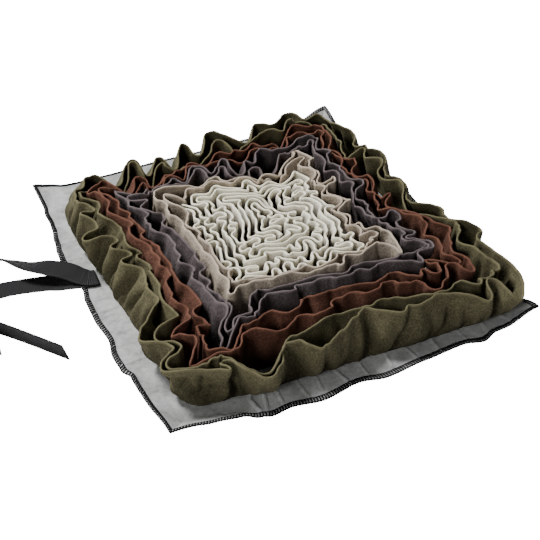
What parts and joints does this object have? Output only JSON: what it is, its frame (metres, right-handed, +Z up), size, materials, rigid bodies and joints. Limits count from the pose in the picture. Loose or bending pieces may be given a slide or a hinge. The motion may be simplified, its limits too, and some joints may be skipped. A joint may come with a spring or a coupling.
{
  "type": "snuffle mat",
  "caption": "Snuffle mat: nested rings of gathered fleece ruffles sewn to a felt sheet, pockets between them for hiding dry pet food, with a webbing tie at one edge.",
  "frame": {"origin": "middle of the felt sheet's underside, on the surface it lies on", "axes": "+X along the front edge, +Y towards the back edge, +Z up"},
  "size_m": [0.5928, 0.4679, 0.0533],
  "materials": {
    "felt": "needled felt, matt",
    "fleece_olive": "brushed fleece, matt",
    "fleece_rust": "brushed fleece, matt",
    "fleece_plum": "brushed fleece, matt",
    "fleece_taupe": "brushed fleece, matt",
    "fleece_cream": "brushed fleece, matt",
    "webbing": "ribbed woven webbing"
  },
  "bodies": {
    "root": {"backing": "felt", "ruffle_olive": "fleece_olive", "ruffle_rust": "fleece_rust", "ruffle_plum": "fleece_plum", "ruffle_taupe": "fleece_taupe", "ruffle_cream": "fleece_cream", "tie": "webbing"}
  },
  "joints": []
}
